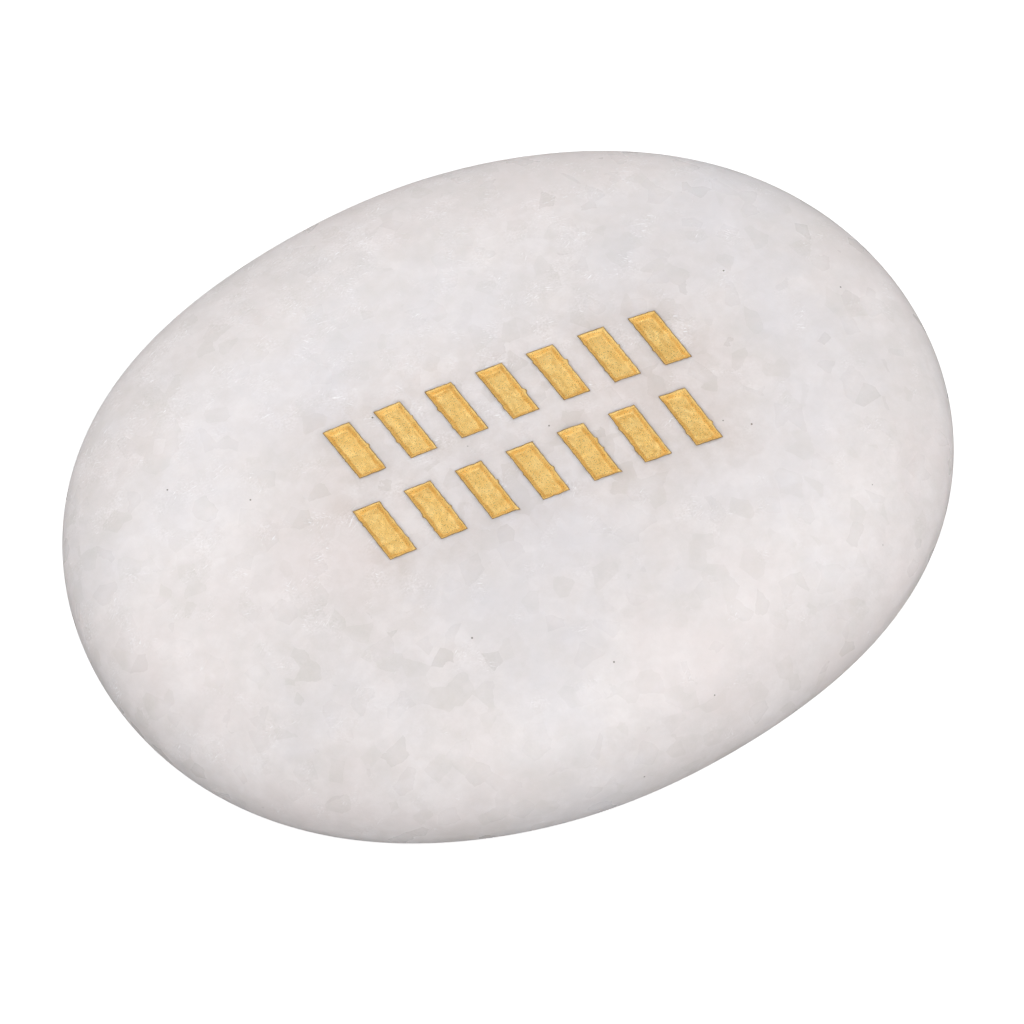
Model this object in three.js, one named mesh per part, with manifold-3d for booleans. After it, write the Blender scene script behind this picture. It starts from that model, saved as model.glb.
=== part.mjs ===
// A tumbled white marble pebble with rows of shallow gilded strokes engraved in its top.
// Millimetres, +Z up. The origin is the middle of the flat spot that the stone lies on,
// X runs along the stone's longer side and Y across it.
import * as THREE from "three";
import { mergeVertices } from "three/addons/utils/BufferGeometryUtils.js";
import Module from "manifold-3d";

// The pebble. Its girth is the level at which it is widest.
const LENGTH = 64;
const WIDTH = 48.8;
const CROWN_HEIGHT = 10.6; // from the girth to the top
const BELLY_HEIGHT = 9.9; // from the girth to where a full belly would end
const FLAT_SPOT_DEPTH = 0.3; // what the resting spot takes off the belly
const SECTION_POWER = 2.3; // 2 would give an elliptic section, more is boxier
const QUARTER_SWELL = -0.0102; // below 0 fills the outline out between its two axes
const QUARTER_SKEW = -0.0055; // below 0 fills out two opposite quarters more than the others
const SIXTH_SWELL = -0.004; // below 0 blunts the two ends a little
const STEPS_ROUND = 80;
const STEPS_UP = 36;

// The engraving, a band of two rows of slanted strokes
const BAND_LENGTH = 26.4;
const BAND_HEIGHT = 10.7;
const BAND_CENTRE = { x: 1, y: -0.15 };
const STROKES_IN_ROW = 7;
const ROW_GAP = 2.2;
const STROKE_WIDTH = 1.85;
const STROKE_DEPTH = 0.55;
const STROKE_DRAFT = 0.35; // how far each wall leans in by the time it meets the floor
const STROKE_LEAN = THREE.MathUtils.degToRad(13.8); // the tops lean back, towards -X
const STROKE_STEPS = 6; // along a stroke, so that its floor follows the crown
const CUTTER_RISE = 0.4; // how far a cutter stands above the crown

const GIRTH_LEVEL = BELLY_HEIGHT - FLAT_SPOT_DEPTH;

const wasm = await Module();
wasm.setup();

// Distance from the middle of the stone to its outline, seen from above
function outlineRadius(angle) {
  const quarters = QUARTER_SWELL * Math.cos(4 * angle) + QUARTER_SKEW * Math.sin(4 * angle);
  const swell = quarters + SIXTH_SWELL * Math.cos(6 * angle);
  const halfLength = LENGTH / 2 / (1 + QUARTER_SWELL + SIXTH_SWELL);
  const halfWidth = WIDTH / 2 / (1 + QUARTER_SWELL - SIXTH_SWELL);
  return (1 + swell) / Math.hypot(Math.cos(angle) / halfLength, Math.sin(angle) / halfWidth);
}

// Height of the crown above the girth at a place seen from above
function crownHeight(x, y) {
  const reach = Math.hypot(x, y) / outlineRadius(Math.atan2(y, x));
  return CROWN_HEIGHT * Math.pow(1 - Math.pow(reach, SECTION_POWER), 1 / SECTION_POWER);
}

// Moves every vertex of a geometry to where place(vertex) puts it
function reshape(geometry, place) {
  const positions = geometry.attributes.position;
  const vertex = new THREE.Vector3();
  for (let i = 0; i < positions.count; i += 1) {
    vertex.fromBufferAttribute(positions, i);
    place(vertex);
    positions.setXYZ(i, vertex.x, vertex.y, vertex.z);
  }
  return geometry;
}

function toSolid(geometry) {
  geometry.deleteAttribute("normal");
  geometry.deleteAttribute("uv");
  const merged = mergeVertices(geometry);
  return new wasm.Manifold(new wasm.Mesh({
    numProp: 3,
    vertProperties: merged.attributes.position.array,
    triVerts: Uint32Array.from(merged.index.array),
  }));
}

function toGeometry(solid) {
  const { vertProperties, triVerts } = solid.getMesh();
  const geometry = new THREE.BufferGeometry();
  geometry.setAttribute("position", new THREE.BufferAttribute(vertProperties, 3));
  geometry.setIndex(new THREE.BufferAttribute(triVerts, 1));
  geometry.computeVertexNormals();
  return geometry;
}

// A unit ball drawn out to the pebble, with the girth at z = 0
function pebbleSolid() {
  const ball = new THREE.SphereGeometry(1, STEPS_ROUND, STEPS_UP).rotateX(Math.PI / 2);
  return toSolid(reshape(ball, (vertex) => {
    const angle = Math.atan2(vertex.y, vertex.x);
    const reach = Math.pow(Math.hypot(vertex.x, vertex.y), 2 / SECTION_POWER);
    const rise = Math.pow(Math.abs(vertex.z), 2 / SECTION_POWER);
    vertex.x = outlineRadius(angle) * reach * Math.cos(angle);
    vertex.y = outlineRadius(angle) * reach * Math.sin(angle);
    vertex.z = vertex.z > 0 ? CROWN_HEIGHT * rise : -BELLY_HEIGHT * rise;
  }));
}

// What is taken off the belly so that the stone lies still
function flatSpotCutter() {
  const slab = new THREE.BoxGeometry(LENGTH, LENGTH, BELLY_HEIGHT);
  return toSolid(slab.translate(0, 0, -GIRTH_LEVEL - BELLY_HEIGHT / 2));
}

// One stroke of the graver: a slanted bar with its ends cut level with the row, narrower
// at the floor, which stays at the same depth under the crown all along
function strokeCutter({ x, y, length }) {
  const bar = new THREE.BoxGeometry(1, 1, 1, 1, STROKE_STEPS, 1);
  return toSolid(reshape(bar, (vertex) => {
    const above = vertex.z > 0;
    const spread = above ? STROKE_DRAFT * CUTTER_RISE / STROKE_DEPTH : -STROKE_DRAFT;
    const across = vertex.x * (STROKE_WIDTH + 2 * spread);
    const along = vertex.y * (length + 2 * spread);
    vertex.x = x + across / Math.cos(STROKE_LEAN) - along * Math.tan(STROKE_LEAN);
    vertex.y = y + along;
    vertex.z = crownHeight(vertex.x, vertex.y) + (above ? CUTTER_RISE : -STROKE_DEPTH);
  }));
}

// The strokes of both rows. Each stroke of one row points at a gap of the other.
function strokes() {
  const slant = Math.tan(STROKE_LEAN);
  const length = (BAND_HEIGHT - ROW_GAP) / 2;
  const rowOffset = (length + ROW_GAP) / 2;
  const firstToLast = BAND_LENGTH - STROKE_WIDTH / Math.cos(STROKE_LEAN) - length * slant;
  const pitch = (firstToLast + 2 * rowOffset * slant) / (STROKES_IN_ROW - 0.5);
  const rowShift = pitch / 4 - rowOffset * slant;
  const columns = [...Array(STROKES_IN_ROW).keys()];
  return [1, -1].flatMap((side) => columns.map((column) => ({
    x: BAND_CENTRE.x + (column - (STROKES_IN_ROW - 1) / 2) * pitch + side * rowShift,
    y: BAND_CENTRE.y + side * rowOffset,
    length,
  })));
}

function stone() {
  let solid = pebbleSolid().subtract(flatSpotCutter());
  for (const stroke of strokes()) {
    solid = solid.subtract(strokeCutter(stroke));
  }
  const marble = new THREE.MeshStandardMaterial({ color: 0xe3dddc, roughness: 0.35, metalness: 0 });
  const mesh = new THREE.Mesh(toGeometry(solid), marble);
  mesh.name = "stone";
  mesh.position.z = GIRTH_LEVEL;
  return mesh;
}

const object = new THREE.Group();
object.add(stone());

export default object;
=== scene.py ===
"""A tumbled white marble pebble, engraved with rows of gilded strokes, on a pale studio floor.

The frame is in metres, +Z up, with its origin in the middle of the flat spot that the stone lies
on, X along the stone's longer side and Y across it.
"""

import enum
import logging
import math
import random
from dataclasses import dataclass
from typing import Any, Iterator

import bmesh
import bpy
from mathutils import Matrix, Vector, noise

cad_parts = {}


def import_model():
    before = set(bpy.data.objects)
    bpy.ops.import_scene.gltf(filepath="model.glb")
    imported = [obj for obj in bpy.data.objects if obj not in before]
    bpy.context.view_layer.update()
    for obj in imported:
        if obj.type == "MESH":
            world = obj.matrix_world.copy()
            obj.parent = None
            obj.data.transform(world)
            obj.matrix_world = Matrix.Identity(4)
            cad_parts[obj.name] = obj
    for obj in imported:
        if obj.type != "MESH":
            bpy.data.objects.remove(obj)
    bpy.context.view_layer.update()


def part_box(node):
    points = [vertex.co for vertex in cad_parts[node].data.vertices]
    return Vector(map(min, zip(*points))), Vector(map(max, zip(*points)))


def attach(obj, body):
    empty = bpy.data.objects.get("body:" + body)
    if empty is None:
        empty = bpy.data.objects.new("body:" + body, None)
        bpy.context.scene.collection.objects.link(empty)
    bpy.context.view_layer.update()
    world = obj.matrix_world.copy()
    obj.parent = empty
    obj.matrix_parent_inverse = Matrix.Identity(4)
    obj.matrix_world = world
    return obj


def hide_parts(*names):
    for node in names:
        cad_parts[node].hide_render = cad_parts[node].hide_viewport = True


LOG = logging.getLogger("engraved_stone")

MM = 0.001
PHOTO_SIDE = 1024
STONE_NODE = "stone"
BODY = "root"
# Attribute for the painted shade near the engraving.
ENGRAVING_SHADE = "engraving_shade"
# Brown paint edge: thinned paint and painted shade.
THIN_AND_SHADED_EDGE = "thin_and_shaded_edge"


def linear(hex_colour: str) -> tuple[float, float, float, float]:
    """Turns an sRGB colour into the linear one that shaders use.

    Args:
        hex_colour: six hex digits, such as "e3dddc".

    Returns:
        Linear red, green and blue, and an alpha of 1.
    """
    values = [int(hex_colour[i : i + 2], 16) / 255 for i in (0, 2, 4)]
    curved = [v / 12.92 if v <= 0.04045 else ((v + 0.055) / 1.055) ** 2.4 for v in values]
    return (*curved, 1.0)


def per_metre(size_mm: float) -> float:
    """Returns the texture scale that makes a pattern's cell this many millimetres wide."""
    return 1 / (size_mm * MM)


def smooth_step(value: float) -> float:
    """Returns an S curve from 0 to 1 as value goes from 0 to 1, held at both ends."""
    held = min(max(value, 0.0), 1.0)
    return held * held * (3 - 2 * held)


def add_node(
    tree: bpy.types.NodeTree,
    kind: str,
    settings: dict[str, Any] | None = None,
    inputs: dict[str | int, Any] | None = None,
) -> bpy.types.Node:
    """Adds a node, with its settings and with what its sockets hold or are linked to.

    Args:
        tree: the node tree to add it to.
        kind: the node's Blender type name.
        settings: the node's own properties.
        inputs: a value, or an output socket to link, for each input by name or number.

    Returns:
        The new node.
    """
    made = tree.nodes.new(kind)
    for name, value in (settings or {}).items():
        setattr(made, name, value)
    for key, value in (inputs or {}).items():
        if isinstance(value, bpy.types.NodeSocket):
            tree.links.new(value, made.inputs[key])
        else:
            made.inputs[key].default_value = value
    return made


def new_material(name: str) -> tuple[bpy.types.Material, bpy.types.Node]:
    """Makes a material with one Principled shader.

    Args:
        name: what the material is called.

    Returns:
        The material and its Principled node.
    """
    material = bpy.data.materials.new(name)
    material.use_nodes = True
    return material, material.node_tree.nodes["Principled BSDF"]


def new_object(name: str, bm: bmesh.types.BMesh) -> bpy.types.Object:
    """Turns a bmesh into a smooth-shaded object at the origin and frees the bmesh.

    Args:
        name: the object's name, also its mesh's.
        bm: the finished shape, in metres in the frame.

    Returns:
        The linked object.
    """
    for face in bm.faces:
        face.smooth = True
    mesh = bpy.data.meshes.new(name)
    bm.to_mesh(mesh)
    bm.free()
    made = bpy.data.objects.new(name, mesh)
    bpy.context.scene.collection.objects.link(made)
    return made


def apply_modifiers(piece: bpy.types.Object) -> None:
    """Bakes a piece's modifiers into its mesh."""
    graph = bpy.context.evaluated_depsgraph_get()
    finished = bpy.data.meshes.new_from_object(piece.evaluated_get(graph), depsgraph=graph)
    plain = piece.data
    piece.modifiers.clear()
    piece.data = finished
    finished.name = piece.name
    bpy.data.meshes.remove(plain)


def ripple(place: Vector, size_mm: float, shift: float = 0.0) -> float:
    """Returns smooth noise from about -1 to 1 that varies over this many millimetres."""
    return noise.noise(place / (size_mm * MM) + Vector((shift, -shift, 0.5 * shift)))


@dataclass(frozen=True)
class PebbleForm:
    """The smooth form that tumbling gave the stone, in millimetres."""

    length: float
    width: float
    height: float
    crown_share: float = 10.6 / 20.2
    flat_spot_depth: float = 0.3
    section_power: float = 2.3
    quarter_swell: float = -0.0102
    quarter_skew: float = -0.0055
    sixth_swell: float = -0.004
    hollow_size: float = 13.0
    hollow_depth: float = 0.05

    @property
    def girth_level(self) -> float:
        """The height at which the stone is widest."""
        return self.height - self.crown_height

    @property
    def crown_height(self) -> float:
        """From the girth to the top."""
        return self.height * self.crown_share

    @property
    def belly_height(self) -> float:
        """From the girth to where the belly would end without its flat spot."""
        return self.girth_level + self.flat_spot_depth

    def outline_radius(self, angle: float) -> float:
        """Works out how far the outline is from the stone's middle, seen from above.

        Args:
            angle: the direction, in radians from +X.

        Returns:
            The distance in millimetres.
        """
        quarters = self.quarter_swell * math.cos(4 * angle) + self.quarter_skew * math.sin(4 * angle)
        swell = quarters + self.sixth_swell * math.cos(6 * angle)
        half_length = self.length / 2 / (1 + self.quarter_swell + self.sixth_swell)
        half_width = self.width / 2 / (1 + self.quarter_swell - self.sixth_swell)
        return (1 + swell) / math.hypot(math.cos(angle) / half_length, math.sin(angle) / half_width)

    def reach(self, x: float, y: float) -> float:
        """Works out how far out a place lies, seen from above.

        Args:
            x: millimetres along the stone.
            y: millimetres across it.

        Returns:
            0 in the middle, 1 on the outline.
        """
        return math.hypot(x, y) / self.outline_radius(math.atan2(y, x))

    def hollows(self, x: float, y: float) -> float:
        """Returns how much the crown rises or sinks in the faint hollows left by tumbling."""
        depth = self.hollow_depth * (1 - self.reach(x, y) ** 4)
        return depth * noise.noise(Vector((x, y, 0)) / self.hollow_size)

    def top(self, x: float, y: float) -> float:
        """Works out the height of the crown at a place seen from above.

        Args:
            x: millimetres along the stone.
            y: millimetres across it.

        Returns:
            The height above the resting surface, in millimetres.
        """
        power = self.section_power
        rise = (1 - self.reach(x, y) ** power) ** (1 / power)
        return self.girth_level + self.crown_height * rise + self.hollows(x, y)

    def from_ball(self, direction: Vector) -> Vector:
        """Finds the point of the surface that a point of the unit ball goes to.

        Args:
            direction: a point of the unit ball.

        Returns:
            The point on the pebble, in millimetres.
        """
        x, y = direction.x * self.length / 2, direction.y * self.width / 2
        power = self.section_power
        scale = (self.reach(x, y) ** power + abs(direction.z) ** power) ** (-1 / power)
        x, y = scale * x, scale * y
        if direction.z > 0:
            rise = scale * direction.z * self.crown_height + self.hollows(x, y)
            return Vector((x, y, self.girth_level + rise))
        return Vector((x, y, max(self.girth_level + scale * direction.z * self.belly_height, 0.0)))


class Row(enum.Enum):
    """Which row of the band a stroke is in, and on which side of the band that is."""

    UPPER = 1
    LOWER = -1


@dataclass(frozen=True)
class Stroke:
    """One engraved stroke: where its middle is, in millimetres."""

    x: float
    y: float


@dataclass(frozen=True)
class StrokeBand:
    """The band of strokes across the crown, in millimetres."""

    length: float = 26.4
    height: float = 10.7
    centre_x: float = 1.0
    centre_y: float = -0.15
    strokes_in_row: int = 7
    row_gap: float = 2.2
    stroke_width: float = 1.85
    depth: float = 0.55
    draft: float = 0.35
    lean: float = math.radians(13.8)

    @property
    def stroke_length(self) -> float:
        """How long a stroke is, measured across the band."""
        return (self.height - self.row_gap) / 2

    def strokes(self) -> Iterator[Stroke]:
        """Yields every stroke, so that each one points at a gap of the other row."""
        slant = math.tan(self.lean)
        row_offset = (self.stroke_length + self.row_gap) / 2
        stroke_room = self.stroke_width / math.cos(self.lean) + self.stroke_length * slant
        first_to_last = self.length - stroke_room + 2 * row_offset * slant
        pitch = first_to_last / (self.strokes_in_row - 0.5)
        row_shift = pitch / 4 - row_offset * slant
        for row in Row:
            for column in range(self.strokes_in_row):
                along = (column - (self.strokes_in_row - 1) / 2) * pitch + row.value * row_shift
                yield Stroke(self.centre_x + along, self.centre_y + row.value * row_offset)

    def place(self, stroke: Stroke, across: float, along: float) -> tuple[float, float]:
        """Finds a place on the stone from a place in a stroke.

        Args:
            stroke: the stroke.
            across: millimetres from its centre line, at right angles to it.
            along: millimetres from its middle, measured across the band.

        Returns:
            x and y in millimetres.
        """
        x = stroke.x + across / math.cos(self.lean) - along * math.tan(self.lean)
        return x, stroke.y + along

    def clearance(self, x: float, y: float) -> float:
        """Works out how far a place is from the nearest stroke.

        Args:
            x: millimetres along the stone.
            y: millimetres across it.

        Returns:
            Millimetres, 0 or less inside a stroke.
        """
        return min(self.stroke_clearance(stroke, x, y) for stroke in self.strokes())

    def stroke_clearance(self, stroke: Stroke, x: float, y: float) -> float:
        """Works out how far a place is from one stroke.

        Args:
            stroke: the stroke.
            x: millimetres along the stone.
            y: millimetres across it.

        Returns:
            Millimetres, 0 or less inside the stroke.
        """
        along = y - stroke.y
        across = (x - stroke.x + along * math.tan(self.lean)) * math.cos(self.lean)
        beside = abs(across) - self.stroke_width / 2
        beyond = abs(along) - self.stroke_length / 2
        if beside > 0 and beyond > 0:
            return math.hypot(beside, beyond)
        return max(beside, beyond)


@dataclass(frozen=True)
class TumbledMarble:
    """White marble, tumbled and polished: a close mass of clear and milky calcite crystals.

    The polish leaves a soft gloss. Light goes a little way into the stone, and more of it comes
    back from a milky patch than from a clear one, so the crystals show as faint patches. Where
    tumbling has bruised them, they are full of fine white and grey cracks.
    """

    clear: str = "c9c5bf"
    plain: str = "e3dddc"
    milky: str = "fdf8f9"
    rosy: str = "e6dad8"
    cool: str = "dfdee4"
    # partly white flecks, partly painted glint
    fleck_and_painted_glint: str = "fffdff"
    # painted shade around the engraving
    painted_shade: str = "f3eeea"
    speck: str = "6e6660"
    roughness: float = 0.3
    ior: float = 1.55
    light_reach_mm: float = 0.7
    crystal_mm: float = 1.3
    patch_mm: float = 1.6
    small_patch_mm: float = 0.6
    cloud_mm: float = 6.0
    drift_mm: float = 16.0
    wander_mm: float = 0.3
    crack_mm: float = 0.16
    cloud_share: float = 0.34
    patch_share: float = 0.07
    small_patch_share: float = 0.22
    crystal_share: float = 0.06
    odd_crystal_share: float = -0.12
    odd_crystals: float = 0.1
    sound_crack_share: float = 0.1
    bruised_crack_share: float = 0.55
    crack_middle: float = 0.48
    tint_share: float = 0.6
    bruise_mm: float = 2.2
    # painted sheen: crowds glints and cracks towards the lit left rear
    sheen_side_crowding_per_metre: tuple[float, float, float] = (-1.5, 4.5, 0.0)
    cleavage_axis: tuple[float, float, float] = (0.2, 0.1, 1.0)
    glint_length_mm: float = 0.5
    glint_width_mm: float = 0.09
    glint_spread: float = math.radians(100)
    speck_spacing_mm: float = 3.0
    speck_radius_mm: float = 0.09
    scuff_mm: float = 0.35
    relief_mm: float = 0.008

    def material(self) -> bpy.types.Material:
        """Builds the material.

        Returns:
            The marble, patterned on Object coordinates.
        """
        material, shader = new_material("tumbled_white_marble")
        tree = material.node_tree
        place = add_node(tree, "ShaderNodeTexCoord").outputs["Object"]
        crystals = self.crystals(tree, place)
        bruised = self.bruising_and_sheen_side(tree, place)
        milkiness = self.milkiness(tree, place, crystals, bruised)
        colour = self.body(tree, milkiness)
        colour = self.tinted(tree, place, colour)
        colour = self.shade_near_engraving(tree, milkiness, colour)
        colour = self.flecks_and_painted_glints(tree, place, crystals, bruised, colour)
        colour = self.specked(tree, place, colour)
        tree.links.new(colour, shader.inputs["Base Color"])
        self.polish(tree, place, crystals, shader)
        shader.subsurface_method = "BURLEY"
        shader.inputs["IOR"].default_value = self.ior
        shader.inputs["Subsurface Weight"].default_value = 1.0
        shader.inputs["Subsurface Scale"].default_value = self.light_reach_mm * MM
        shader.inputs["Subsurface Radius"].default_value = (1.0, 0.85, 0.75)
        return material

    def crystals(self, tree: bpy.types.NodeTree, place: bpy.types.NodeSocket) -> bpy.types.Node:
        """Packs the stone with crystals and gives each its own three random numbers.

        Args:
            tree: the material's nodes.
            place: Object coordinates.

        Returns:
            A node with the random numbers X, Y and Z of the crystal at each place.
        """
        bend = add_node(
            tree,
            "ShaderNodeTexNoise",
            inputs={"Vector": place, "Scale": per_metre(2 * self.wander_mm), "Detail": 2.0},
        )
        reach = self.wander_mm * MM
        bent = add_node(
            tree,
            "ShaderNodeVectorMath",
            {"operation": "MULTIPLY_ADD"},
            {0: bend.outputs["Color"], 1: (reach, reach, reach), 2: place},
        )
        cells = add_node(
            tree,
            "ShaderNodeTexVoronoi",
            {"voronoi_dimensions": "3D", "feature": "F1"},
            {"Vector": bent.outputs[0], "Scale": per_metre(self.crystal_mm), "Randomness": 1.0},
        )
        return add_node(tree, "ShaderNodeSeparateXYZ", inputs={0: cells.outputs["Color"]})

    def bruising_and_sheen_side(self, tree: bpy.types.NodeTree, place: bpy.types.NodeSocket) -> bpy.types.NodeSocket:
        """Finds where tumbling bruised the crystals: small areas, crowded towards the left rear,
        where the crowding is a painted sheen that puts more glints and cracks on the lit side.

        Args:
            tree: the material's nodes.
            place: Object coordinates.

        Returns:
            0 where the stone is sound, 1 where it is bruised.
        """
        patches = add_node(
            tree,
            "ShaderNodeTexNoise",
            inputs={"Vector": place, "Scale": per_metre(self.bruise_mm), "Detail": 1.0},
        )
        # Crowding towards the left rear: painted sheen, on the side that catches the rear light.
        rear = add_node(
            tree,
            "ShaderNodeVectorMath",
            {"operation": "DOT_PRODUCT"},
            {0: place, 1: self.sheen_side_crowding_per_metre},
        )
        crowded = add_node(
            tree,
            "ShaderNodeMath",
            {"operation": "ADD"},
            {0: patches.outputs["Fac"], 1: rear.outputs["Value"]},
        )
        bruised = add_node(
            tree,
            "ShaderNodeMapRange",
            {"interpolation_type": "SMOOTHSTEP"},
            {0: crowded.outputs[0], 1: 0.5, 2: 0.72},
        )
        return bruised.outputs[0]

    def milkiness(
        self,
        tree: bpy.types.NodeTree,
        place: bpy.types.NodeSocket,
        crystals: bpy.types.Node,
        bruised: bpy.types.NodeSocket,
    ) -> bpy.types.NodeSocket:
        """Works out how milky the stone is, from clouds down to cracks.

        Args:
            tree: the material's nodes.
            place: Object coordinates.
            crystals: the crystals' random numbers.
            bruised: where the stone is bruised.

        Returns:
            0 where it is clear, 0.5 where it is plain and 1 where it is milky.
        """
        clouds, patches, small_patches, cracks = (
            add_node(
                tree,
                "ShaderNodeTexNoise",
                inputs={"Vector": place, "Scale": per_metre(size), "Detail": detail, "Roughness": 0.6},
            ).outputs["Fac"]
            for size, detail in (
                (self.cloud_mm, 2.0),
                (self.patch_mm, 1.0),
                (self.small_patch_mm, 2.0),
                (self.crack_mm, 1.0),
            )
        )
        patch_edges = add_node(
            tree,
            "ShaderNodeMapRange",
            {"interpolation_type": "SMOOTHSTEP"},
            {0: patches, 1: 0.4, 2: 0.6},
        )
        odd_crystal = add_node(
            tree,
            "ShaderNodeMapRange",
            {"interpolation_type": "SMOOTHSTEP"},
            {0: crystals.outputs["Y"], 1: 0.84, 2: 0.92},
        )
        crack_share = add_node(
            tree,
            "ShaderNodeMapRange",
            inputs={0: bruised, 3: self.sound_crack_share, 4: self.bruised_crack_share},
        )
        crackle = add_node(
            tree,
            "ShaderNodeMath",
            {"operation": "MULTIPLY"},
            {0: cracks, 1: crack_share.outputs[0]},
        )
        plain = 0.5
        milkiness = add_node(
            tree,
            "ShaderNodeMath",
            {"operation": "MULTIPLY_ADD"},
            {0: crack_share.outputs[0], 1: -self.crack_middle, 2: plain},
        )
        shares = (
            (clouds, self.cloud_share, 0.5),
            (patch_edges.outputs[0], self.patch_share, 0.5),
            (small_patches, self.small_patch_share, 0.5),
            (crystals.outputs["X"], self.crystal_share, 0.5),
            (odd_crystal.outputs[0], self.odd_crystal_share, self.odd_crystals),
            (crackle.outputs[0], 1.0, 0.0),
        )
        for signal, share, middle in shares:
            level = add_node(
                tree,
                "ShaderNodeMath",
                {"operation": "MULTIPLY_ADD"},
                {0: signal, 1: share, 2: -share * middle},
            )
            milkiness = add_node(
                tree,
                "ShaderNodeMath",
                {"operation": "ADD"},
                {0: milkiness.outputs[0], 1: level.outputs[0]},
            )
        return milkiness.outputs[0]

    def body(self, tree: bpy.types.NodeTree, milkiness: bpy.types.NodeSocket) -> bpy.types.NodeSocket:
        """Gives the stone the colour of its milkiness.

        Args:
            tree: the material's nodes.
            milkiness: how milky it is.

        Returns:
            The colour.
        """
        ramp = add_node(tree, "ShaderNodeValToRGB", inputs={0: milkiness})
        stops = ramp.color_ramp.elements
        stops[0].color = linear(self.clear)
        stops[1].color = linear(self.milky)
        stops.new(0.5).color = linear(self.plain)
        return ramp.outputs[0]

    def tinted(
        self, tree: bpy.types.NodeTree, place: bpy.types.NodeSocket, colour: bpy.types.NodeSocket
    ) -> bpy.types.NodeSocket:
        """Tints the stone a little: rosy here, cool there.

        Args:
            tree: the material's nodes.
            place: Object coordinates.
            colour: the colour so far.

        Returns:
            The tinted colour.
        """
        drift = add_node(
            tree,
            "ShaderNodeTexNoise",
            inputs={"Vector": place, "Scale": per_metre(self.drift_mm), "Detail": 4.0, "Roughness": 0.6},
        )
        for tint, full in ((self.rosy, 0.75), (self.cool, 0.25)):
            share = add_node(
                tree,
                "ShaderNodeMapRange",
                inputs={0: drift.outputs["Fac"], 1: 0.5, 2: full, 3: 0.0, 4: self.tint_share},
            )
            mixed = add_node(
                tree,
                "ShaderNodeMix",
                {"data_type": "RGBA"},
                {0: share.outputs[0], 6: colour, 7: linear(tint)},
            )
            colour = mixed.outputs[2]
        return colour

    def shade_near_engraving(
        self, tree: bpy.types.NodeTree, milkiness: bpy.types.NodeSocket, colour: bpy.types.NodeSocket
    ) -> bpy.types.NodeSocket:
        """Darkens the stone around the engraving with painted shade, where the paint takes up its light.

        Args:
            tree: the material's nodes.
            milkiness: how milky the stone is: the clear parts get more of the painted shade.
            colour: the colour so far.

        Returns:
            The colour with its painted shade.
        """
        # Painted shade: the stone is darkened near the engraving.
        nearness = add_node(tree, "ShaderNodeAttribute", {"attribute_name": ENGRAVING_SHADE})
        shade_take = add_node(
            tree, "ShaderNodeMapRange", inputs={0: milkiness, 1: 0.4, 2: 0.6, 3: 1.0, 4: 0.6}
        )
        share = add_node(
            tree,
            "ShaderNodeMath",
            {"operation": "MULTIPLY"},
            {0: nearness.outputs["Fac"], 1: shade_take.outputs[0]},
        )
        mixed = add_node(
            tree,
            "ShaderNodeMix",
            {"data_type": "RGBA", "blend_type": "MULTIPLY"},
            {0: share.outputs[0], 6: colour, 7: linear(self.painted_shade)},
        )
        return mixed.outputs[2]

    def flecks_and_painted_glints(
        self,
        tree: bpy.types.NodeTree,
        place: bpy.types.NodeSocket,
        crystals: bpy.types.Node,
        bruised: bpy.types.NodeSocket,
        colour: bpy.types.NodeSocket,
    ) -> bpy.types.NodeSocket:
        """Adds short white lines along a bruised crystal's cleavage: partly its own white flecks,
        partly a painted glint where the cleavage would catch the light.

        Args:
            tree: the material's nodes.
            place: Object coordinates.
            crystals: the crystals' random numbers.
            bruised: where the stone is bruised.
            colour: the colour so far.

        Returns:
            The colour with its flecks and painted glints.
        """
        turn = add_node(
            tree,
            "ShaderNodeMath",
            {"operation": "MULTIPLY_ADD"},
            {0: crystals.outputs["X"], 1: self.glint_spread, 2: -self.glint_spread / 2},
        )
        turned = add_node(
            tree,
            "ShaderNodeVectorRotate",
            {"rotation_type": "AXIS_ANGLE"},
            {"Vector": place, "Axis": self.cleavage_axis, "Angle": turn.outputs[0]},
        )
        along, across = per_metre(self.glint_length_mm), per_metre(self.glint_width_mm)
        stretched = add_node(
            tree,
            "ShaderNodeMapping",
            inputs={"Vector": turned.outputs[0], "Scale": (along, across, along)},
        )
        lines = add_node(
            tree,
            "ShaderNodeTexNoise",
            inputs={"Vector": stretched.outputs[0], "Scale": 1.0, "Detail": 1.0},
        )
        bright = add_node(
            tree,
            "ShaderNodeMapRange",
            {"interpolation_type": "SMOOTHSTEP"},
            {0: lines.outputs["Fac"], 1: 0.6, 2: 0.8},
        )
        share = add_node(
            tree, "ShaderNodeMath", {"operation": "MULTIPLY"}, {0: bright.outputs[0], 1: bruised}
        )
        # Painted glint: the white lines are mixed into the colour, partly real white flecks.
        mixed = add_node(
            tree,
            "ShaderNodeMix",
            {"data_type": "RGBA"},
            {0: share.outputs[0], 6: colour, 7: linear(self.fleck_and_painted_glint)},
        )
        return mixed.outputs[2]

    def specked(
        self, tree: bpy.types.NodeTree, place: bpy.types.NodeSocket, colour: bpy.types.NodeSocket
    ) -> bpy.types.NodeSocket:
        """Adds the few dark specks, mineral grains caught in the marble.

        Args:
            tree: the material's nodes.
            place: Object coordinates.
            colour: the colour so far.

        Returns:
            The colour with its specks.
        """
        grains = add_node(
            tree,
            "ShaderNodeTexVoronoi",
            {"voronoi_dimensions": "3D", "feature": "F1"},
            {"Vector": place, "Scale": per_metre(self.speck_spacing_mm)},
        )
        size = self.speck_radius_mm / self.speck_spacing_mm
        dark = add_node(
            tree,
            "ShaderNodeMapRange",
            {"interpolation_type": "SMOOTHSTEP"},
            {0: grains.outputs["Distance"], 1: size, 2: 0.5 * size},
        )
        mixed = add_node(
            tree,
            "ShaderNodeMix",
            {"data_type": "RGBA"},
            {0: dark.outputs[0], 6: colour, 7: linear(self.speck)},
        )
        return mixed.outputs[2]

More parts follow.
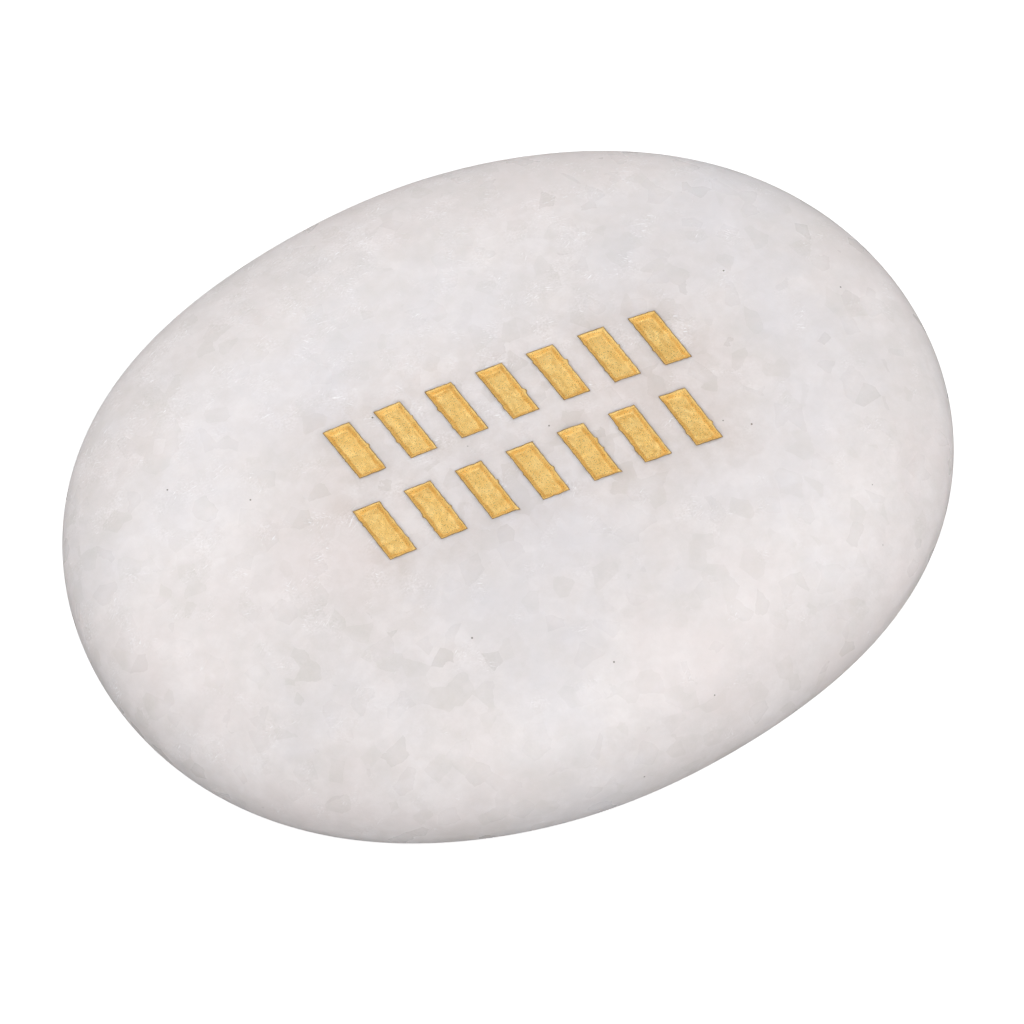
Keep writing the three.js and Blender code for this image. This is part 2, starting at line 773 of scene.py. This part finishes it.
    def polish(
        self,
        tree: bpy.types.NodeTree,
        place: bpy.types.NodeSocket,
        crystals: bpy.types.Node,
        shader: bpy.types.Node,
    ) -> None:
        """Gives the surface its gloss, which changes from crystal to crystal, and its fine relief.

        Args:
            tree: the material's nodes.
            place: Object coordinates.
            crystals: the crystals' random numbers.
            shader: the Principled shader.
        """
        gloss = add_node(
            tree,
            "ShaderNodeMapRange",
            inputs={0: crystals.outputs["Z"], 3: self.roughness - 0.04, 4: self.roughness + 0.08},
        )
        tree.links.new(gloss.outputs[0], shader.inputs["Roughness"])
        scuffs = add_node(
            tree,
            "ShaderNodeTexNoise",
            inputs={"Vector": place, "Scale": per_metre(self.scuff_mm), "Detail": 1.0},
        )
        relief = add_node(
            tree,
            "ShaderNodeBump",
            inputs={"Distance": self.relief_mm * MM, "Height": scuffs.outputs["Fac"]},
        )
        tree.links.new(relief.outputs[0], shader.inputs["Normal"])


@dataclass(frozen=True)
class GoldPaint:
    """Gold bronze paint, brushed thickly into the engraving and dried in wrinkles.

    The paint is metal flakes in clear binder. The flakes lie at all angles, so it has a broad
    shine with bright grains in it, and it goes brown along the edge: partly where it thins out,
    partly painted shade where the groove's edge falls into shadow.
    """

    colour: str = "f6d286"
    deep: str = "e2b45c"
    # brown edge: thinned paint, and painted shade at the groove's rim
    thin_and_shaded_edge: str = "7d5218"
    metallic: float = 0.6
    roughness: float = 0.34
    gloss_change: float = 0.1
    flake_mm: float = 0.09
    flake_relief_mm: float = 0.05
    blotch_mm: float = 0.7
    deep_share: float = 0.5

    def material(self) -> bpy.types.Material:
        """Builds the material.

        Returns:
            The paint, patterned on Object coordinates.
        """
        material, shader = new_material("brushed_gold_bronze_paint")
        tree = material.node_tree
        place = add_node(tree, "ShaderNodeTexCoord").outputs["Object"]
        blotches = add_node(
            tree,
            "ShaderNodeTexNoise",
            inputs={"Vector": place, "Scale": per_metre(self.blotch_mm), "Detail": 3.0},
        )
        flakes = add_node(
            tree,
            "ShaderNodeTexNoise",
            inputs={"Vector": place, "Scale": per_metre(self.flake_mm), "Detail": 2.0, "Roughness": 0.6},
        )
        depth = add_node(
            tree,
            "ShaderNodeMapRange",
            inputs={0: blotches.outputs["Fac"], 1: 0.35, 2: 0.65, 3: 0.0, 4: self.deep_share},
        )
        body = add_node(
            tree,
            "ShaderNodeMix",
            {"data_type": "RGBA"},
            {0: depth.outputs[0], 6: linear(self.colour), 7: linear(self.deep)},
        )
        # The brown edge is partly thinned paint, partly painted shade at the groove's rim.
        edge = add_node(tree, "ShaderNodeAttribute", {"attribute_name": THIN_AND_SHADED_EDGE})
        edged = add_node(
            tree,
            "ShaderNodeMix",
            {"data_type": "RGBA"},
            {0: edge.outputs["Fac"], 6: body.outputs[2], 7: linear(self.thin_and_shaded_edge)},
        )
        tree.links.new(edged.outputs[2], shader.inputs["Base Color"])
        gloss = add_node(
            tree,
            "ShaderNodeMapRange",
            inputs={
                0: flakes.outputs["Fac"],
                1: 0.35,
                2: 0.65,
                3: self.roughness + self.gloss_change,
                4: self.roughness - self.gloss_change,
            },
        )
        tree.links.new(gloss.outputs[0], shader.inputs["Roughness"])
        relief = add_node(
            tree,
            "ShaderNodeBump",
            inputs={"Distance": self.flake_relief_mm * MM, "Height": flakes.outputs["Fac"]},
        )
        tree.links.new(relief.outputs[0], shader.inputs["Normal"])
        shader.inputs["Metallic"].default_value = self.metallic
        return material


@dataclass
class MarblePebble:
    """The stone itself, with the grooves that the strokes were engraved in."""

    form: PebbleForm
    band: StrokeBand
    finish: TumbledMarble
    ball_subdivisions: int = 7
    cutter_steps: int = 12
    cutter_rise: float = 0.4
    paint_room: float = 0.08
    crease_angle: float = math.radians(35)
    engraving_shade_mm: float = 2.0

    def build(self) -> bpy.types.Object:
        """Models the pebble, engraves it and gives it its finish.

        Returns:
            The stone, which stands for the CAD node.
        """
        bm = bmesh.new()
        bmesh.ops.create_icosphere(bm, subdivisions=self.ball_subdivisions, radius=1.0)
        for vert in bm.verts:
            vert.co = self.form.from_ball(vert.co) * MM
        stone = new_object("marble_pebble", bm)
        self.engrave(stone)
        self.mark_engraving_shade(stone)
        stone.data.materials.clear()
        stone.data.materials.append(self.finish.material())
        stone.data.set_sharp_from_angle(angle=self.crease_angle)
        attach(stone, BODY)
        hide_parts(STONE_NODE)
        return stone

    def mark_engraving_shade(self, stone: bpy.types.Object) -> None:
        """Marks how near each point is to the engraving, for the painted shade: 1 beside it, 0 far away.

        Args:
            stone: the engraved stone.
        """
        engraving_shade = stone.data.attributes.new(ENGRAVING_SHADE, "FLOAT", "POINT")
        for vert in stone.data.vertices:
            place = vert.co / MM
            if place.z > self.form.girth_level:
                away = max(self.band.clearance(place.x, place.y), 0.0)
                engraving_shade.data[vert.index].value = math.exp(-away / self.engraving_shade_mm)

    def engrave(self, stone: bpy.types.Object) -> None:
        """Cuts every stroke's groove into the stone.

        Args:
            stone: the plain pebble.
        """
        for stroke in self.band.strokes():
            cut = stone.modifiers.new("engraving", "BOOLEAN")
            cut.operation = "DIFFERENCE"
            cut.solver = "EXACT"
            cut.object = self.cutter(stroke)
        cutters = [cut.object for cut in stone.modifiers]
        apply_modifiers(stone)
        for cutter in cutters:
            bpy.data.objects.remove(cutter)

    def cutter(self, stroke: Stroke) -> bpy.types.Object:
        """Models the solid that one stroke takes out of the stone.

        Args:
            stroke: the stroke to cut.

        Returns:
            A slanted bar, narrower at its foot, that follows the crown.
        """
        bm = bmesh.new()
        bmesh.ops.create_cube(bm, size=1.0)
        bm.edges.ensure_lookup_table()
        long_edges = [e for e in bm.edges if abs(e.verts[0].co.y - e.verts[1].co.y) > 0.5]
        bmesh.ops.subdivide_edges(bm, edges=long_edges, cuts=self.cutter_steps)
        band = self.band
        depth = band.depth + self.paint_room
        for vert in bm.verts:
            rise = self.cutter_rise if vert.co.z > 0 else -depth
            spread = rise / band.depth * band.draft / 2
            across = vert.co.x * (band.stroke_width + 2 * spread)
            along = vert.co.y * (band.stroke_length + 2 * spread)
            x, y = band.place(stroke, across, along)
            vert.co = Vector((x, y, self.form.top(x, y) + rise)) * MM
        return new_object("stroke_cutter", bm)


@dataclass
class StrokePaint:
    """The paint in each groove: a film that lines the floor and walls and just laps the edge."""

    form: PebbleForm
    band: StrokeBand
    finish: GoldPaint
    step: float = 0.05
    lap: float = 0.05
    lap_height: float = 0.03
    film: float = 0.03
    settled_depth: float = 0.4
    ragged: float = 0.035
    ragged_mm: float = 0.4
    wrinkle_mm: float = 1.0
    wrinkle_stretch: float = 0.35
    wrinkle_height: float = 0.09
    lump_mm: float = 0.4
    lump_height: float = 0.06
    grain_mm: float = 0.17
    grain_height: float = 0.04
    grain_on_floor: float = 0.35
    grain_on_wall: float = 0.9
    # width of the brown edge: thinned paint and painted shade
    shaded_edge_width: float = 0.08
    foot_wander: float = 0.12
    foot_wander_mm: float = 0.6
    spills: int = 3
    spill_radius: float = 0.24
    spill_height: float = 0.4
    spill_spread: float = 0.6

    def build(self) -> list[bpy.types.Object]:
        """Lines every groove.

        Returns:
            One piece of paint for each stroke.
        """
        material = self.finish.material()
        pieces = []
        for number, stroke in enumerate(self.band.strokes(), 1):
            piece = self.line_groove(f"gilding_{number:02d}", stroke, random.Random(number))
            piece.data.materials.append(material)
            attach(piece, BODY)
            pieces.append(piece)
        return pieces

    def line_groove(self, name: str, stroke: Stroke, chance: random.Random) -> bpy.types.Object:
        """Models the paint of one groove.

        Args:
            name: the piece's name.
            stroke: the stroke that it fills.
            chance: what places the spills along its edge.

        Returns:
            The paint as a closed solid, only a film thick.
        """
        half_width = self.band.stroke_width / 2 + self.lap
        half_length = self.band.stroke_length / 2 + self.lap
        spills = [self.spill_place(half_width, half_length, chance) for _ in range(self.spills)]
        bm = bmesh.new()
        thin_and_shaded_edge = bm.verts.layers.float.new(THIN_AND_SHADED_EDGE)
        bmesh.ops.create_grid(
            bm,
            x_segments=round(2 * half_width / self.step),
            y_segments=round(2 * half_length / self.step),
            size=1.0,
        )
        for vert in bm.verts:
            spot = Vector((vert.co.x * half_width, vert.co.y * half_length))
            inside = min(half_width - abs(spot.x), half_length - abs(spot.y)) - self.lap
            # Brown edge: thinned paint, and painted shade where the groove's rim falls into shadow.
            vert[thin_and_shaded_edge] = 1 - smooth_step((inside + self.lap) / self.shaded_edge_width)
            swell = 0.0
            for centre, radius in spills:
                heap = max(1 - ((spot - centre).length / radius) ** 2, 0.0)
                swell += self.spill_height * radius * heap
                spot += self.spill_spread * radius * heap * centre.normalized()
            x, y = self.band.place(stroke, spot.x, spot.y)
            place = Vector((x, y, 0)) * MM
            x += self.ragged * ripple(place, self.ragged_mm)
            y += self.ragged * ripple(place, self.ragged_mm, 7.0)
            foot = self.band.draft + self.foot_wander * ripple(place, self.foot_wander_mm, 3.0)
            settled = smooth_step(inside / foot)
            sunk = self.settled_depth * settled - self.lap_height - swell
            height = self.form.top(x, y) - sunk + self.relief(stroke, spot, settled)
            vert.co = Vector((x, y, height)) * MM
        bmesh.ops.recalc_face_normals(bm, faces=bm.faces)
        piece = new_object(name, bm)
        film = piece.modifiers.new("film", "SOLIDIFY")
        film.thickness = self.film * MM
        film.offset = -1.0
        return piece

    def spill_place(
        self, half_width: float, half_length: float, chance: random.Random
    ) -> tuple[Vector, float]:
        """Picks where a drop of paint spilled over the edge, and how wide it is.

        Args:
            half_width: from the stroke's centre line to the edge of the paint.
            half_length: from the stroke's middle to the edge of the paint.
            chance: what picks.

        Returns:
            The drop's middle, across and along the stroke, and its radius.
        """
        along = chance.uniform(-half_length, half_length)
        side = chance.choice((-1, 1))
        radius = self.spill_radius * chance.uniform(0.4, 1.0)
        return Vector((side * half_width, along)), radius

    def relief(self, stroke: Stroke, spot: Vector, settled: float) -> float:
        """Works out how far the paint's skin stands above its even thickness.

        Args:
            stroke: the stroke that the paint fills.
            spot: millimetres across and along the stroke, from its middle.
            settled: 0 at the edge, 1 on the floor of the groove.

        Returns:
            Millimetres.
        """
        own = 11.0 * stroke.x + 3.0 * stroke.y
        wrinkles = ripple(Vector((self.wrinkle_stretch * spot.x, spot.y, 0)) * MM, self.wrinkle_mm, own)
        lumps = ripple(Vector((spot.x, spot.y, 0)) * MM, self.lump_mm, own)
        grain = ripple(Vector((spot.x, spot.y, 0)) * MM, self.grain_mm, own)
        on_wall = 4 * settled * (1 - settled)
        return (
            settled * (self.wrinkle_height * wrinkles + self.lump_height * lumps)
            + self.grain_height * grain * (self.grain_on_floor + self.grain_on_wall * on_wall)
        )


@dataclass(frozen=True)
class Softbox:
    """A large square light aimed at the stone, by where it hangs in the photograph and how bright."""

    name: str
    bearing: float
    power: float
    elevation: float = math.radians(45)
    distance: float = 1.2
    side: float = 0.9

    def hang(self, row_angle: float) -> None:
        """Hangs the softbox.

        Args:
            row_angle: how far the camera looks round to the right of the stone's Y axis.
        """
        data = bpy.data.lights.new(self.name, "AREA")
        data.size = self.side
        data.energy = self.power
        softbox = bpy.data.objects.new(self.name, data)
        bpy.context.scene.collection.objects.link(softbox)
        level = math.cos(self.elevation)
        around = self.bearing - row_angle
        towards = Vector((level * math.cos(around), level * math.sin(around), math.sin(self.elevation)))
        softbox.location = towards * self.distance
        softbox.rotation_euler = towards.to_track_quat("Z", "Y").to_euler()
        softbox.visible_camera = False


@dataclass
class Studio:
    """The pale floor, the soft light and the camera."""

    form: PebbleForm
    row_angle: float = math.radians(22.31)
    camera_elevation: float = math.radians(66)
    photo_px_per_mm: float = 14.19
    stone_centre_px: tuple[float, float] = (508.6, 495.3)
    lens_mm: float = 600.0
    farthest_seen: float = 10.0
    white: str = "ffffff"
    floor_colour: str = "f9f9f9"
    floor_size: float = 3.0
    floor_glow: float = 0.45
    horizon_light: float = 0.78
    pole_light: float = 0.12
    softboxes: tuple[Softbox, ...] = (
        Softbox("right_softbox", math.radians(0), 3.9),
        Softbox("rear_softbox", math.radians(120), 3.4),
        Softbox("left_softbox", math.radians(180), 4.3),
        Softbox("front_softbox", math.radians(300), 4.9),
    )

    def build(self) -> None:
        """Sets up everything that isn't the object."""
        self.lay_floor()
        self.light_dome()
        for softbox in self.softboxes:
            softbox.hang(self.row_angle)
        self.place_camera()

    def lay_floor(self) -> None:
        """Lays the plain pale floor, a backlit sheet that washes out most of the shadow."""
        bm = bmesh.new()
        bmesh.ops.create_grid(bm, x_segments=1, y_segments=1, size=self.floor_size / 2)
        floor = new_object("studio_floor", bm)
        material, shader = new_material("backlit_white_acrylic")
        shader.inputs["Base Color"].default_value = linear(self.floor_colour)
        shader.inputs["Roughness"].default_value = 0.9
        shader.inputs["Specular IOR Level"].default_value = 0.0
        shader.inputs["Emission Color"].default_value = linear(self.white)
        shader.inputs["Emission Strength"].default_value = self.floor_glow
        floor.data.materials.append(material)
        floor.visible_diffuse = False
        floor.visible_glossy = False
        floor.visible_shadow = False

    def light_dome(self) -> None:
        """Surrounds the stone with soft light, brightest level with it and dimmer up and down."""
        world = bpy.data.worlds.new("studio_dome")
        bpy.context.scene.world = world
        world.use_nodes = True
        tree = world.node_tree
        direction = add_node(tree, "ShaderNodeTexCoord").outputs["Generated"]
        height = add_node(tree, "ShaderNodeSeparateXYZ", inputs={0: direction}).outputs["Z"]
        steepness = add_node(tree, "ShaderNodeMath", {"operation": "ABSOLUTE"}, {0: height})
        strength = add_node(
            tree,
            "ShaderNodeMapRange",
            inputs={0: steepness.outputs[0], 3: self.horizon_light, 4: self.pole_light},
        )
        background = tree.nodes["Background"]
        background.inputs["Color"].default_value = linear(self.white)
        tree.links.new(strength.outputs[0], background.inputs["Strength"])
        bpy.context.scene.view_settings.view_transform = "Standard"

    def place_camera(self) -> None:
        """Looks at the stone as the photograph does."""
        data = bpy.data.cameras.new("camera")
        data.lens = self.lens_mm
        camera = bpy.data.objects.new("camera", data)
        bpy.context.scene.collection.objects.link(camera)
        bpy.context.scene.camera = camera
        away = Vector((math.sin(self.row_angle), math.cos(self.row_angle), 0))
        level, rise = math.cos(self.camera_elevation), math.sin(self.camera_elevation)
        look = away * level - Vector((0, 0, rise))
        right = look.cross(Vector((0, 0, 1))).normalized()
        up = right.cross(look)
        half_photo = PHOTO_SIDE / 2
        shift_right = (half_photo - self.stone_centre_px[0]) / self.photo_px_per_mm
        shift_down = (half_photo - self.stone_centre_px[1]) / self.photo_px_per_mm
        middle = Vector((0, 0, self.form.girth_level))
        target = (middle + right * shift_right - up * shift_down) * MM
        view_width = PHOTO_SIDE / self.photo_px_per_mm * MM
        distance = view_width * self.lens_mm / data.sensor_width
        camera.location = target - look * distance
        camera.rotation_euler = look.to_track_quat("-Z", "Y").to_euler()
        data.clip_end = self.farthest_seen


def main() -> None:
    """Builds the stone, its paint and the studio, and reports each piece."""
    logging.basicConfig(level=logging.INFO, format="%(name)s: %(message)s")
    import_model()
    low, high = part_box(STONE_NODE)
    size = (high - low) / MM
    form = PebbleForm(length=size.x, width=size.y, height=size.z)
    band = StrokeBand()
    stone = MarblePebble(form, band, TumbledMarble()).build()
    LOG.info("%s: %d faces", stone.name, len(stone.data.polygons))
    for piece in StrokePaint(form, band, GoldPaint()).build():
        LOG.info("%s: %d faces", piece.name, len(piece.data.polygons))
    Studio(form).build()


if __name__ == "__main__":
    main()
